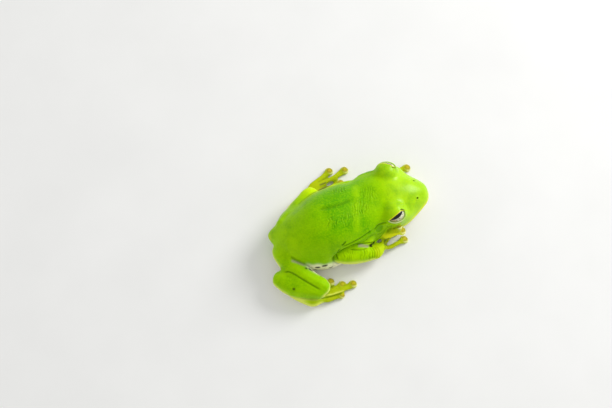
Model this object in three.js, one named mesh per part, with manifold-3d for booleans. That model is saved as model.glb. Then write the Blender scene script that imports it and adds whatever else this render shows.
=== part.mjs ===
// A green tree frog at rest by day: belly and chin down, all four limbs folded close, at life size.
// X runs towards the snout, Y to the frog's left and Z up; every size is in millimetres.
import * as THREE from "three";
import { mergeVertices } from "three/addons/utils/BufferGeometryUtils.js";
import Module from "manifold-3d";

const wasm = await Module();
wasm.setup();

// ---------- driving dimensions ----------

const clearance = 0.2; // left between neighbouring pieces
const floorLevel = 0; // every flat that the frog rests on is at this height

const headAt = [36.5, 1.3]; // midpoint between the eyes, in plan
const headTurn = -6.4; // degrees about Z: the head looks a little to the frog's right
const eyeSpacing = 12;
const eyeHeight = 8.2;
const eyeRadius = 3;
const lidThickness = 0.45;
const eyeForward = 32; // degrees that each eye looks ahead of straight sideways
const eyeUp = 30; // degrees that it looks above level
const lidSlitSetback = 0.8; // from the eye's centre out to the line where the two lids meet
const upperLidAngle = 38;
const lowerLidAngle = 44;
const tympanum = { ahead: -4.9, out: 8.6, height: 7.2, radius: 1.3, depth: 1.5, tilt: 35 };
const nostril = { ahead: 7.1, apart: 5.2, height: 7.5, radius: 0.3, depth: 0.7, tilt: 48 };
const cheek = { ahead: 0.2, out: 5.9, height: 6.3, radii: [5.0, 3.2, 3.1] }; // fills in below each eye
const mouthLine = [
  [-4.8, 3.9],
  [-3.0, 3.4],
  [2.0, 3.15],
  [7.0, 3.25],
  [12.5, 3.6],
]; // distance ahead of the eyes, and height, from the corner of the mouth forwards
const jawAngleSlope = 1.2; // how far back the jaw's rear edge runs on its way down
const underThroat = -9;
const neckX = 28.8;
const armHollows = {
  right: { centre: [21.6, -14.0, 6.2], radii: [7.8, 5.2, 4.2] },
  left: { centre: [24.0, 12.3, 2.6], radii: [8.5, 4.4, 3.4] },
}; // pressed into the flanks by the folded arms
const rumpLength = 1.5; // round ends of the body, behind and ahead of its first and last girths
const snoutLength = 1.6;
const vent = { centre: [1.5, 0.6, 5.2], radii: [1.1, 1.3, 1.2] };

const digitRadius = 0.74;
const padWidth = 1.3; // half the width of the disc at a digit's tip
const padHeight = 0.55;

// Girths along the body, from rump to neck. Each has its place in plan, the height of the back, then half
// width and height of the back's edge, of the flank and of the belly's edge, and the height of the belly.
const trunkGirths = [
  { x: 2.4, y: 0.3, top: 7.4, edge: [1.6, 6.8], flank: [2.4, 5.0], belly: [1.6, 3.2], bottom: 2.6 },
  { x: 4.8, y: -0.6, top: 9.6, edge: [3.6, 8.6], flank: [5.8, 5.2], belly: [4.6, 1.6], bottom: 0.6 },
  { x: 8.0, y: -1.8, top: 12.2, edge: [5.0, 11.0], flank: [8.4, 5.2], belly: [7.4, 0.9], bottom: -0.5 },
  { x: 12.0, y: -2.5, top: 14.2, edge: [5.8, 12.5], flank: [9.8, 5.0], belly: [9.1, 0.7], bottom: -0.6 },
  { x: 16.0, y: -2.1, top: 14.8, edge: [6.4, 13.0], flank: [10.5, 4.9], belly: [9.7, 0.7], bottom: -0.6 },
  { x: 20.0, y: -1.4, top: 14.3, edge: [6.7, 12.6], flank: [10.8, 4.9], belly: [9.8, 0.7], bottom: -0.6 },
  { x: 24.0, y: -0.6, top: 13.2, edge: [6.5, 11.6], flank: [10.2, 4.9], belly: [9.0, 0.7], bottom: -0.5 },
  { x: 28.0, y: 0.2, top: 12.1, edge: [6.1, 10.5], flank: [9.4, 4.9], belly: [7.8, 0.8], bottom: -0.3 },
];

// The same from neck to snout, placed by their distance ahead of the eyes: the back's edge runs on as the
// ridge above the cheek, the flank as the lip and the belly's edge as the jaw.
const headGirths = [
  { ahead: -4.6, top: 11.3, edge: [5.5, 9.7], flank: [9.1, 4.7], belly: [7.4, 1.0], bottom: -0.1 },
  { ahead: -1.2, top: 10.9, edge: [5.0, 9.6], flank: [9.2, 4.1], belly: [7.6, 1.0], bottom: -0.1 },
  { ahead: 2.0, top: 10.3, edge: [4.4, 9.2], flank: [8.7, 3.8], belly: [7.1, 1.1], bottom: 0.0 },
  { ahead: 4.7, top: 9.5, edge: [3.7, 8.6], flank: [7.1, 3.8], belly: [5.7, 1.2], bottom: 0.3 },
  { ahead: 7.2, top: 8.4, edge: [2.8, 7.6], flank: [5.1, 3.8], belly: [4.0, 1.5], bottom: 0.9 },
  { ahead: 9.0, top: 7.1, edge: [2.0, 6.5], flank: [3.5, 3.9], belly: [2.7, 2.1], bottom: 1.6 },
];

// Joints of each limb, and for each digit its knuckle, its middle joint and the middle of its pad.
const arms = {
  right: {
    shoulder: [27.0, -7.7, 5.2],
    elbow: [18.6, -10.6, 4.5],
    wrist: [27.3, -12.1, 3.1],
    palm: [29.7, -11.0, 2.5],
    fingers: [
      [[31.4, -9.6, 1.2], [33.0, -8.2, 0.9], [34.6, -7.2, 0.45]],
      [[31.3, -9.0, 3.7], [33.4, -8.4, 4.9], [35.6, -8.2, 5.8]],
      [[31.4, -9.4, 3.3], [33.8, -9.0, 4.5], [36.3, -8.8, 4.4]],
      [[31.4, -11.5, 1.6], [34.0, -11.0, 1.4], [36.6, -10.1, 0.45]],
    ],
  },
  left: {
    shoulder: [26.6, 7.5, 4.6],
    elbow: [20.4, 7.8, 3.5],
    wrist: [30.4, 8.1, 2.4],
    palm: [33.4, 8.6, 1.6],
    fingers: [
      [[35.2, 7.4, 1.2], [36.6, 6.2, 0.9], [37.8, 5.2, 0.45]],
      [[36.0, 8.2, 1.2], [38.4, 7.3, 1.1], [40.6, 6.2, 0.45]],
      [[36.4, 9.2, 1.3], [40.2, 10.1, 1.3], [43.7, 10.3, 0.45]],
      [[35.8, 9.9, 1.2], [37.8, 10.2, 1.1], [39.6, 9.8, 0.45]],
    ],
  },
};
// In the folded leg the shin, the shank's upper end, lies beside the knee; of thigh and shank, the one on
// top keeps its whole form, and the thigh bows sideways at its middle.
const legs = {
  right: {
    onTop: "shank",
    hip: [3.4, -4.9, 5.0],
    bow: [-1.0, -0.9, 0.0],
    knee: [10.7, -17.7, 4.2],
    shin: [9.7, -18.5, 3.9],
    heel: [0.9, -12.2, 3.6],
    ankle: [1.3, -13.9, 1.8],
    ball: [7.4, -19.9, 1.25],
    toes: [
      [[8.6, -18.0, 1.1], [9.6, -17.0, 0.9], [10.8, -15.9, 0.45]],
      [[9.8, -18.4, 1.2], [11.6, -17.2, 1.0], [13.6, -15.9, 0.45]],
      [[10.6, -19.0, 1.2], [13.4, -18.4, 1.1], [16.4, -17.6, 0.45]],
      [[11.0, -19.8, 1.3], [15.0, -19.6, 1.3], [19.3, -18.3, 0.45]],
      [[10.8, -20.9, 1.2], [13.0, -20.9, 1.1], [15.2, -20.2, 0.45]],
    ],
  },
  left: {
    onTop: "thigh",
    hip: [5.8, 0.8, 6.4],
    bow: [0, 0, 0],
    knee: [15.2, 8.7, 4.9],
    shin: [15.0, 7.4, 3.4],
    heel: [5.6, 2.3, 2.9],
    ankle: [6.4, 4.8, 1.8],
    ball: [12.7, 9.6, 1.25],
    toes: [
      [[13.6, 9.2, 1.1], [15.4, 8.8, 0.9], [17.4, 8.8, 0.45]],
      [[14.8, 9.8, 1.2], [17.6, 9.6, 1.0], [20.6, 9.9, 0.45]],
      [[15.8, 10.8, 1.2], [20.0, 10.8, 1.1], [24.5, 11.6, 0.45]],
      [[16.2, 12.0, 1.3], [21.4, 12.9, 1.3], [26.7, 15.0, 0.45]],
      [[15.8, 12.9, 1.2], [19.0, 14.2, 1.1], [22.5, 16.0, 0.45]],
    ],
  },
};

// Half width and half height of the flesh at shares of each bone's length, in the order of the joints
// above, but with the shank from heel to knee.
const limbGirths = {
  upperArm: { shares: [0, 0.5, 1], girths: [[2.5, 2.5], [2.3, 2.3], [2.5, 2.5]] },
  forearm: { shares: [0, 0.35, 0.72, 1], girths: [[2.5, 2.5], [2.9, 2.8], [2.6, 2.4], [2.0, 1.8]] },
  hand: { shares: [0, 0.6, 1], girths: [[2.3, 1.9], [2.1, 1.6], [1.5, 1.3]] },
  thigh: { shares: [0, 0.4, 0.8, 1], girths: [[3.1, 3.2], [3.1, 3.0], [2.8, 2.7], [2.7, 2.5]] },
  shank: { shares: [0, 0.27, 0.6, 1], girths: [[2.8, 2.4], [3.7, 2.8], [3.3, 2.8], [2.2, 2.3]] },
  tarsus: { shares: [0, 0.5, 1], girths: [[1.6, 1.6], [2.0, 1.5], [1.8, 1.3]] },
  foot: { shares: [0, 0.9], girths: [[1.8, 1.3], [2.1, 1.0]] },
};
const cutterSize = 100; // edge of the blocks that cut the frog at its joints and at the floor
const detail = {
  body: { sides: 18, rings: 16, capRings: 2 },
  limb: { sides: 8, rings: 5, capRings: 2 },
  digit: { sides: 6, rings: 3, capRings: 2 },
  ball: { sides: 12, rings: 8 },
  filling: { sides: 8, rings: 6 },
};

// ---------- making solids ----------

const upwards = new THREE.Vector3(0, 0, 1);
const mix = (a, b, share) => a.map((value, i) => value + (b[i] - value) * share);

function solidOf(geometry) {
  const bare = new THREE.BufferGeometry();
  bare.setAttribute("position", geometry.getAttribute("position"));
  bare.setIndex(geometry.getIndex());
  const merged = mergeVertices(bare, 1e-4);
  return new wasm.Manifold(
    new wasm.Mesh({
      numProp: 3,
      vertProperties: merged.attributes.position.array,
      triVerts: new Uint32Array(merged.index.array),
    }),
  );
}

function geometryOf(solid) {
  const mesh = solid.getMesh();
  const geometry = new THREE.BufferGeometry();
  geometry.setAttribute("position", new THREE.BufferAttribute(mesh.vertProperties, 3));
  geometry.setIndex(new THREE.BufferAttribute(mesh.triVerts, 1));
  return geometry;
}

// Bends a capsule along the path and gives it the section wanted at each share of the way. A section takes
// a share and an angle (0 is towards the path's right, a quarter turn is up) and answers [across, up].
function bentCapsule(path, section, { sides, rings, capRings, capLengths }) {
  const capsule = new THREE.CapsuleGeometry(1, 2, capRings, sides, rings);
  const point = capsule.getAttribute("position");
  for (let i = 0; i < point.count; i++) {
    const level = THREE.MathUtils.clamp(point.getY(i), -1, 1);
    const share = (level + 1) / 2;
    const beyond = point.getY(i) - level;
    const angle = Math.atan2(point.getZ(i), point.getX(i));
    const spread = Math.hypot(point.getX(i), point.getZ(i));
    const tangent = path.getTangent(share);
    const right = new THREE.Vector3().crossVectors(tangent, upwards).normalize();
    const lift = new THREE.Vector3().crossVectors(right, tangent);
    const [across, up] = section(share, angle);
    const place = path.getPoint(share);
    place.addScaledVector(tangent, beyond * capLengths[beyond > 0 ? 1 : 0]);
    place.addScaledVector(right, across * spread);
    place.addScaledVector(lift, up * spread);
    point.setXYZ(i, place.x, place.y, place.z);
  }
  const solid = solidOf(capsule);
  return solid.volume() > 0 ? solid : solidOf(turnedOut(capsule));
}

function turnedOut(geometry) {
  const corners = geometry.getIndex().array;
  for (let i = 0; i < corners.length; i += 3) {
    [corners[i + 1], corners[i + 2]] = [corners[i + 2], corners[i + 1]];
  }
  return geometry;
}

// A limb: oval girths [x, y, z, half width, half height] joined along a curve, with round ends.
function limb(girths, { grow = 0, ends, ...fineness } = {}) {
  const path = new THREE.CatmullRomCurve3(girths.map(([x, y, z]) => new THREE.Vector3(x, y, z)));
  const radii = girths.map(([, , , wide, high]) => new THREE.Vector3(wide, high, 0));
  const ovals = new THREE.CatmullRomCurve3(radii);
  const section = (share, angle) => {
    const oval = ovals.getPoint(share);
    return [(oval.x + grow) * Math.cos(angle), (oval.y + grow) * Math.sin(angle)];
  };
  const first = girths[0];
  const last = girths[girths.length - 1];
  const round = ends ?? [(first[3] + first[4]) / 2, (last[3] + last[4]) / 2];
  const capLengths = round.map((length) => length + grow);
  return bentCapsule(path, section, { ...detail.limb, ...fineness, capLengths });
}

// The flesh round one straight bone, bowed sideways by the shift given at its middle.
function bone(from, to, { shares, girths }, { bow = [0, 0, 0], ...options } = {}) {
  const stations = shares.map((share, i) => {
    const bulge = Math.sin(Math.PI * share);
    const place = mix(from, to, share).map((value, axis) => value + bow[axis] * bulge);
    return [...place, ...girths[i]];
  });
  return limb(stations, options);
}

function ball(centre, radius) {
  const { sides, rings } = detail.ball;
  return solidOf(new THREE.SphereGeometry(radius, sides, rings).translate(...centre));
}

function ellipsoid({ centre, radii }) {
  const { sides, rings } = detail.filling;
  const geometry = new THREE.SphereGeometry(1, sides, rings);
  geometry.scale(...radii);
  return solidOf(geometry.translate(...centre));
}

// The block of space on the far side of a plane, in the direction given, starting half a clearance off it.
function beyond(point, direction) {
  const block = new THREE.BoxGeometry(cutterSize, cutterSize, cutterSize);
  block.translate(0, 0, (cutterSize + clearance) / 2);
  const heading = new THREE.Vector3(...direction).normalize();
  block.applyQuaternion(new THREE.Quaternion().setFromUnitVectors(upwards, heading));
  return solidOf(block.translate(...point));
}

// Across a joint, the plane halfway between the two bones that meet there, as the direction of the first.
function creaseAt(joint, firstEnd, secondEnd) {
  const towards = (end) => new THREE.Vector3(...end).sub(new THREE.Vector3(...joint)).normalize();
  return towards(firstEnd).sub(towards(secondEnd)).toArray();
}

function largestOf(solid) {
  return solid.decompose().reduce((best, piece) => (piece.volume() > best.volume() ? piece : best));
}

// ---------- placing pieces ----------

const frog = new THREE.Group();
const neighbours = [];
const underFloor = solidOf(
  new THREE.BoxGeometry(cutterSize, cutterSize, cutterSize).translate(0, 0, floorLevel - cutterSize / 2),
);

// Adds one named piece: whatever the floor and the pieces before it leave, with a clearance to each. Bones
// of one limb part at the planes that trim them, while other pieces keep clear of the limb's full form.
function add(name, material, build, { limbName, trim = (solid) => solid, shapesOthers = true } = {}) {
  let solid = trim(build(0)).subtract(underFloor);
  for (const neighbour of neighbours) {
    const sameLimb = limbName !== undefined && neighbour.limbName === limbName;
    solid = solid.subtract(sameLimb ? neighbour.trimmed : neighbour.full);
  }
  solid = largestOf(solidOf(geometryOf(largestOf(solid))));
  if (shapesOthers) {
    const full = build(clearance);
    neighbours.push({ limbName, full, trimmed: trim(full) });
  }
  const mesh = new THREE.Mesh(geometryOf(solid), material);
  mesh.name = name;
  frog.add(mesh);
}

const paint = (color, roughness) => new THREE.MeshStandardMaterial({ color, roughness, metalness: 0 });
const skinGreen = () => paint(0x86c808, 0.45);
const digitYellow = () => paint(0xb9b41e, 0.45);
const eyeGloss = () => paint(0xc9c8a0, 0.08);

// ---------- head and trunk ----------

const sideSigns = { left: 1, right: -1 };
const headRadians = THREE.MathUtils.degToRad(headTurn);

// A point given by its distances ahead of the eyes, to the left and up.
function inHead(ahead, left, z) {
  const x = headAt[0] + ahead * Math.cos(headRadians) - left * Math.sin(headRadians);
  const y = headAt[1] + ahead * Math.sin(headRadians) + left * Math.cos(headRadians);
  return [x, y, z];
}

const bodyGirths = [
  ...trunkGirths,
  ...headGirths.map((girth) => {
    const [x, y] = inHead(girth.ahead, 0, 0);
    return { ...girth, x, y };
  }),
];
const bodyPath = new THREE.CatmullRomCurve3(
  bodyGirths.map(({ x, y, flank }) => new THREE.Vector3(x, y, flank[1])),
);
const outlines = ["edge", "flank", "belly"].map(
  (part) => new THREE.CatmullRomCurve3(bodyGirths.map((girth) => new THREE.Vector3(...girth[part], 0))),
);
const ridge = new THREE.CatmullRomCurve3(
  bodyGirths.map(({ top, bottom }) => new THREE.Vector3(top, bottom, 0)),
);

function bodySection(share, angle, grow) {
  const [edge, flank, belly] = outlines.map((curve) => curve.getPoint(share));
  const { x: top, y: bottom } = ridge.getPoint(share);
  const middle = bodyPath.getPoint(share).z;
  const loop = new THREE.CatmullRomCurve3(
    [
      [flank.x, flank.y],
      [edge.x, edge.y],
      [0, top],
      [-edge.x, edge.y],
      [-flank.x, flank.y],
      [-belly.x, belly.y],
      [0, bottom],
      [belly.x, belly.y],
    ].map(([across, height]) => new THREE.Vector3(across, height - middle, 0)),
    true,
  );
  const place = loop.getPoint((angle / (2 * Math.PI) + 1) % 1);
  const out = place.clone().setLength(grow);
  return [place.x + out.x, place.y + out.y];
}

function body(grow) {
  const section = (share, angle) => bodySection(share, angle, grow);
  const capLengths = [rumpLength + grow, snoutLength + grow];
  return bentCapsule(bodyPath, section, { ...detail.body, capLengths });
}

const eyeCentres = {};
for (const [side, sign] of Object.entries(sideSigns)) {
  eyeCentres[side] = inHead(0, (sign * eyeSpacing) / 2, eyeHeight);
}

// Turns a shape made looking along +X to look the way that side's eye does, about the eye's centre.
function aimed(geometry, side) {
  const sign = sideSigns[side];
  const turn = THREE.MathUtils.degToRad(headTurn + sign * (90 - eyeForward));
  const tilt = THREE.MathUtils.degToRad(-eyeUp);
  geometry.rotateY(tilt);
  geometry.rotateZ(turn);
  return geometry.translate(...eyeCentres[side]);
}

// The opening between the lids: a wedge that widens outwards from the line where the lids meet.
function lidOpening(side) {
  const reach = 2 * eyeRadius;
  const rise = reach * Math.tan(THREE.MathUtils.degToRad(upperLidAngle));
  const fall = reach * Math.tan(THREE.MathUtils.degToRad(lowerLidAngle));
  const wedge = new THREE.Shape();
  wedge.moveTo(lidSlitSetback, 0);
  wedge.lineTo(lidSlitSetback + reach, rise);
  wedge.lineTo(lidSlitSetback + reach, -fall);
  const depth = 4 * eyeRadius;
  const prism = new THREE.ExtrudeGeometry(wedge, { depth, bevelEnabled: false });
  prism.translate(0, 0, -depth / 2);
  prism.rotateX(Math.PI / 2);
  return solidOf(aimed(prism, side));
}

for (const side of Object.keys(sideSigns)) {
  add(`eye_${side}`, eyeGloss(), (grow) => ball(eyeCentres[side], eyeRadius + grow));
}

for (const [side, { shoulder, elbow, wrist, palm, fingers }] of Object.entries(arms)) {
  const limbName = `arm_${side}`;
  const wristPlane = beyond(wrist, creaseAt(wrist, palm, elbow));
  const elbowCrease = beyond(elbow, creaseAt(elbow, wrist, shoulder));
  const hand = (grow) => bone(wrist, palm, limbGirths.hand, { grow, rings: 4 });
  add(`hand_${side}`, skinGreen(), hand, { limbName, trim: (solid) => solid.intersect(wristPlane) });
  fingers.forEach((points, i) => {
    add(`finger_${i + 1}_${side}`, digitYellow(), (grow) => digit(palm, points, grow), { limbName });
  });
  const forearm = (grow) => bone(elbow, wrist, limbGirths.forearm, { grow });
  add(`forearm_${side}`, skinGreen(), forearm, {
    limbName,
    trim: (solid) => solid.subtract(wristPlane).intersect(elbowCrease),
  });
  const upperArm = (grow) => bone(shoulder, elbow, limbGirths.upperArm, { grow, rings: 4 });
  add(`upper_arm_${side}`, skinGreen(), upperArm, {
    limbName,
    trim: (solid) => solid.subtract(elbowCrease),
  });
}

// A finger or toe, from inside the palm or sole to the flat disc at its tip.
function digit(root, [knuckle, joint, pad], grow) {
  const thin = 0.85 * digitRadius;
  return limb(
    [
      [...mix(root, knuckle, 0.7), thin, thin],
      [...knuckle, digitRadius, digitRadius],
      [...joint, 1.2 * digitRadius, digitRadius],
      [...mix(joint, pad, 0.6), digitRadius, thin],
      [...pad, padWidth, padHeight],
    ],
    { ...detail.digit, grow, ends: [digitRadius / 2, 0.9 * padWidth] },
  );
}

// ---------- trunk and head ----------

// A shape seen from the side, in distances ahead of the eyes and heights, run right across the head.
function acrossHead(outline) {
  const shape = new THREE.Shape(outline);
  const prism = new THREE.ExtrudeGeometry(shape, { depth: cutterSize, bevelEnabled: false });
  prism.translate(0, 0, -cutterSize / 2);
  prism.rotateX(Math.PI / 2);
  prism.rotateZ(headRadians);
  return solidOf(prism.translate(...headAt, 0));
}

// All that is below the mouth and ahead of the jaw's hinge.
function belowMouth(rise) {
  const lips = mouthLine.map(([ahead, height]) => new THREE.Vector2(ahead, height + rise));
  lips[0].x -= rise;
  const line = new THREE.SplineCurve(lips);
  const points = line.getPoints(5);
  const front = lips[lips.length - 1].x;
  const throat = new THREE.Vector2(lips[0].x - jawAngleSlope, underThroat);
  return acrossHead([...points, new THREE.Vector2(front, underThroat), throat]);
}

function tympanumPlug(side, grow) {
  const sign = sideSigns[side];
  const radius = tympanum.radius + grow;
  const plug = new THREE.CylinderGeometry(radius, radius, 2 * tympanum.depth, 10);
  plug.rotateX(THREE.MathUtils.degToRad(sign * tympanum.tilt));
  plug.rotateZ(headRadians);
  return solidOf(plug.translate(...inHead(tympanum.ahead, sign * tympanum.out, tympanum.height)));
}

function nostrilHole(side) {
  const sign = sideSigns[side];
  const hole = new THREE.CylinderGeometry(nostril.radius, nostril.radius, 2 * nostril.depth, 6);
  hole.rotateX(THREE.MathUtils.degToRad(sign * nostril.tilt));
  hole.rotateZ(headRadians);
  return solidOf(hole.translate(...inHead(nostril.ahead, (sign * nostril.apart) / 2, nostril.height)));
}

const neck = [neckX, 0, 0];
let whole = body(0).add(ellipsoid(vent));
for (const [side, sign] of Object.entries(sideSigns)) {
  const centre = inHead(cheek.ahead, sign * cheek.out, cheek.height);
  whole = whole.add(ellipsoid({ centre, radii: cheek.radii }));
  whole = whole.add(ball(eyeCentres[side], eyeRadius + lidThickness));
  whole = whole.subtract(lidOpening(side)).subtract(nostrilHole(side));
}
for (const hollow of Object.values(armHollows)) {
  whole = whole.subtract(ellipsoid(hollow));
}

for (const side of Object.keys(sideSigns)) {
  add(`tympanum_${side}`, skinGreen(), (grow) => {
    const plug = tympanumPlug(side, grow);
    return grow > 0 ? plug : plug.intersect(whole);
  });
}
const head = whole.intersect(beyond(neck, [1, 0, 0]));
add("lower_jaw", skinGreen(), () => head.intersect(belowMouth(-clearance / 2)), { shapesOthers: false });
add("head", skinGreen(), () => head.subtract(belowMouth(clearance / 2)), { shapesOthers: false });
add("trunk", skinGreen(), () => whole.intersect(beyond(neck, [-1, 0, 0])));

// ---------- hind limbs ----------

for (const [side, plan] of Object.entries(legs)) {
  const { onTop, hip, bow, knee, shin, heel, ankle, ball: ballOfFoot, toes } = plan;
  const limbName = `leg_${side}`;
  const folded = {
    thigh: (grow) => bone(hip, knee, limbGirths.thigh, { grow, bow }),
    shank: (grow) => bone(heel, shin, limbGirths.shank, { grow }),
  };
  const under = onTop === "thigh" ? "shank" : "thigh";
  for (const boneName of [onTop, under]) {
    add(`${boneName}_${side}`, skinGreen(), folded[boneName], { limbName });
  }
  const foot = (grow) => bone(ballOfFoot, toes[2][0], limbGirths.foot, { grow, rings: 3 });
  add(`foot_${side}`, skinGreen(), foot, { limbName });
  toes.forEach((points, i) => {
    add(`toe_${i + 1}_${side}`, digitYellow(), (grow) => digit(ballOfFoot, points, grow), { limbName });
  });
  const tarsus = (grow) => bone(ankle, ballOfFoot, limbGirths.tarsus, { grow, rings: 4 });
  add(`tarsus_${side}`, skinGreen(), tarsus, { limbName });
}

// The origin is on the floor, midway along and across the frog.
const extent = new THREE.Box3().setFromObject(frog);
const middle = extent.getCenter(new THREE.Vector3());
frog.position.set(-middle.x, -middle.y, -floorLevel);

export default frog;
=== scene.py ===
import math

import bmesh
import bpy
import numpy as np
from mathutils import Matrix, Vector, noise
from mathutils.bvhtree import BVHTree


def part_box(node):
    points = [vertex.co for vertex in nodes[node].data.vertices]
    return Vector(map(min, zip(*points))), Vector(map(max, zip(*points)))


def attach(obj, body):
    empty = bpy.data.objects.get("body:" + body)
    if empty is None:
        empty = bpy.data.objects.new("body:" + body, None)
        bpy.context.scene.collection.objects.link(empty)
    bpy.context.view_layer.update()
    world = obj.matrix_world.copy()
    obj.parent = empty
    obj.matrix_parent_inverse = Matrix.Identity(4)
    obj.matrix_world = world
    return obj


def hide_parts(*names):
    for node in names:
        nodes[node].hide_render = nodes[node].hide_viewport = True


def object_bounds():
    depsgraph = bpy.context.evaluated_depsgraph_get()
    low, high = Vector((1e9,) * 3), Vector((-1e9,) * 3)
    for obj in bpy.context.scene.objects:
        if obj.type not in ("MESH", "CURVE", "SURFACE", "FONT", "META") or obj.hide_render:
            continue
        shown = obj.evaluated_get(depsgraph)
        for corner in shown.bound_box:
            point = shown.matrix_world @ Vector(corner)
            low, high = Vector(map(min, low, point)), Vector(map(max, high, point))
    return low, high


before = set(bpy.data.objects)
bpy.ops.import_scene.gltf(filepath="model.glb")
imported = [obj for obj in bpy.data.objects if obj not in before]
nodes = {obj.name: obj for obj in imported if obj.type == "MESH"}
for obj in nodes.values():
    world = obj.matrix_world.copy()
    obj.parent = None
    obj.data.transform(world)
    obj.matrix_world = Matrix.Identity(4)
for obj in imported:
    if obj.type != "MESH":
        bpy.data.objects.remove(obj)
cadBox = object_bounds()
mm = 0.001
sides = {"left": 1, "right": -1}
print("frame loaded:", len(nodes), "nodes")


# Places read from the frame

def middleOf(name):
    low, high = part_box(name)
    return np.array((low + high) / 2)


def unit(vector):
    return np.asarray(vector, float) / np.linalg.norm(vector)


upward = np.array([0.0, 0.0, 1.0])
eyeCentre = {side: middleOf(f"eye_{side}") for side in sides}
eyeRadius = (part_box("eye_left")[1].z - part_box("eye_left")[0].z) / 2
leftward = unit((eyeCentre["left"] - eyeCentre["right"]) * [1, 1, 0])
forward = np.cross(leftward, upward)
headMiddle = (eyeCentre["left"] + eyeCentre["right"]) / 2
fleshNames = [name for name in nodes if not name.startswith("eye_")]
digitNames = [name for name in nodes if name.startswith(("finger", "toe"))]


# Head places are mm ahead of the eyes, to the frog's left, and above the floor
def inHead(ahead, left, height):
    place = headMiddle + (ahead * forward + left * leftward) * mm
    return np.array([place[0], place[1], height * mm])


def addObject(name, data):
    thing = bpy.data.objects.new(name, data)
    bpy.context.scene.collection.objects.link(thing)
    return thing


# The camera

cameraPlan = {
    "pivot": (-12.5, -1.3, -3.2),  # mm from midway between the eyes, what the view turns about
    "bearing": -5.0,  # degrees round from the frog's right side
    "elevation": 68.0,
    "roll": 12.0,
    "distance": 472.0,
    "lens": 100.0,
    "aside": -11.94,  # mm across the view from the pivot to the view's middle
    "above": 2.97,
}


def placeCamera(plan):
    bearing, elevation, roll = (math.radians(plan[key]) for key in ("bearing", "elevation", "roll"))
    away = np.array([
        math.cos(elevation) * math.sin(bearing),
        -math.cos(elevation) * math.cos(bearing),
        math.sin(elevation),
    ])
    right = np.array([math.cos(bearing), math.sin(bearing), 0.0])
    top = np.cross(away, right)
    across = math.cos(roll) * right - math.sin(roll) * top
    up = math.sin(roll) * right + math.cos(roll) * top
    aim = headMiddle + (np.array(plan["pivot"]) + plan["aside"] * across + plan["above"] * up) * mm
    camera = addObject("camera", bpy.data.cameras.new("camera"))
    camera.data.lens = plan["lens"]
    camera.data.clip_start = 0.01
    camera.data.clip_end = 20.0
    turn = np.eye(4)
    turn[:3, 0], turn[:3, 1], turn[:3, 2] = across, up, away
    turn[:3, 3] = aim + away * plan["distance"] * mm
    camera.matrix_world = Matrix(turn.tolist())
    bpy.context.scene.camera = camera


placeCamera(cameraPlan)


# Mesh tools

def meshFrom(shape, label):
    mesh = bpy.data.meshes.new(label)
    shape.to_mesh(mesh)
    shape.free()
    return mesh


def evaluatedMesh(thing):
    return bpy.data.meshes.new_from_object(thing.evaluated_get(bpy.context.evaluated_depsgraph_get()))


def joinedMesh(names, grow, label):
    shape = bmesh.new()
    for name in names:
        shape.from_mesh(nodes[name].data)
    bmesh.ops.remove_doubles(shape, verts=shape.verts, dist=1e-7)
    shape.normal_update()
    for vertex in shape.verts:
        vertex.co += vertex.normal * grow
    return meshFrom(shape, label)


def remeshed(mesh, voxel):
    holder = addObject("holder", mesh)
    modifier = holder.modifiers.new("remesh", "REMESH")
    modifier.mode = "VOXEL"
    modifier.voxel_size = voxel
    result = evaluatedMesh(holder)
    bpy.data.objects.remove(holder)
    bpy.data.meshes.remove(mesh)
    return result


def coordinates(mesh):
    flat = np.empty(len(mesh.vertices) * 3)
    mesh.vertices.foreach_get("co", flat)
    return flat.reshape(-1, 3)


def setCoordinates(mesh, points):
    mesh.vertices.foreach_set("co", np.ascontiguousarray(points, dtype=np.float32).ravel())
    mesh.update()


def normalsOf(mesh):
    flat = np.empty(len(mesh.vertices) * 3)
    mesh.vertex_normals.foreach_get("vector", flat)
    return flat.reshape(-1, 3)


def addValues(mesh, name, values):
    attribute = mesh.attributes.new(name, "FLOAT", "POINT")
    attribute.data.foreach_set("value", values.astype(np.float32))


def neighboursOf(mesh):
    edges = np.empty(len(mesh.edges) * 2, dtype=np.int64)
    mesh.edges.foreach_get("vertices", edges)
    edges = edges.reshape(-1, 2)
    both = np.concatenate([edges, edges[:, ::-1]])
    both = both[np.argsort(both[:, 0], kind="stable")]
    count = len(mesh.vertices)
    degree = np.bincount(both[:, 0], minlength=count)
    start = np.concatenate([[0], np.cumsum(degree)[:-1]])
    place = np.arange(len(both)) - start[both[:, 0]]
    table = np.full((count, degree.max()), count)
    table[both[:, 0], place] = both[:, 1]
    return table, np.maximum(degree, 1)[:, None]


# Evens values out between neighbours; share says how much, point by point
def relaxed(values, links, share, rounds):
    table, degree = links
    flat = values.ndim == 1
    values = values[:, None].copy() if flat else values.copy()
    share = np.asarray(share, float)
    if share.ndim == 1:
        share = share[:, None]
    for _ in range(rounds):
        padded = np.vstack([values, np.zeros((1, values.shape[1]))])
        values += share * 0.5 * (padded[table].sum(1) / degree - values)
    return values[:, 0] if flat else values


def roundsFor(reach, voxel):
    return max(1, round((reach / voxel) ** 2 * 4))


# Smooths away what is smaller than the reach, and keeps the volume
def rounded(points, links, share, rounds):
    once = relaxed(points, links, share, rounds)
    return 2 * once - relaxed(once, links, share, rounds)


def smoothStep(value, low, high):
    share = np.clip((value - low) / (high - low), 0, 1)
    return share * share * (3 - 2 * share)


def bell(value, width):
    return np.exp(-((value / width) ** 2))


def treeOf(names):
    corners, faces, owners = [], [], []
    for number, name in enumerate(names):
        mesh = nodes[name].data
        mesh.calc_loop_triangles()
        base = len(corners)
        corners.extend(vertex.co.copy() for vertex in mesh.vertices)
        for triangle in mesh.loop_triangles:
            faces.append([base + corner for corner in triangle.vertices])
            owners.append(number)
    return BVHTree.FromPolygons(corners, faces), owners


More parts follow.
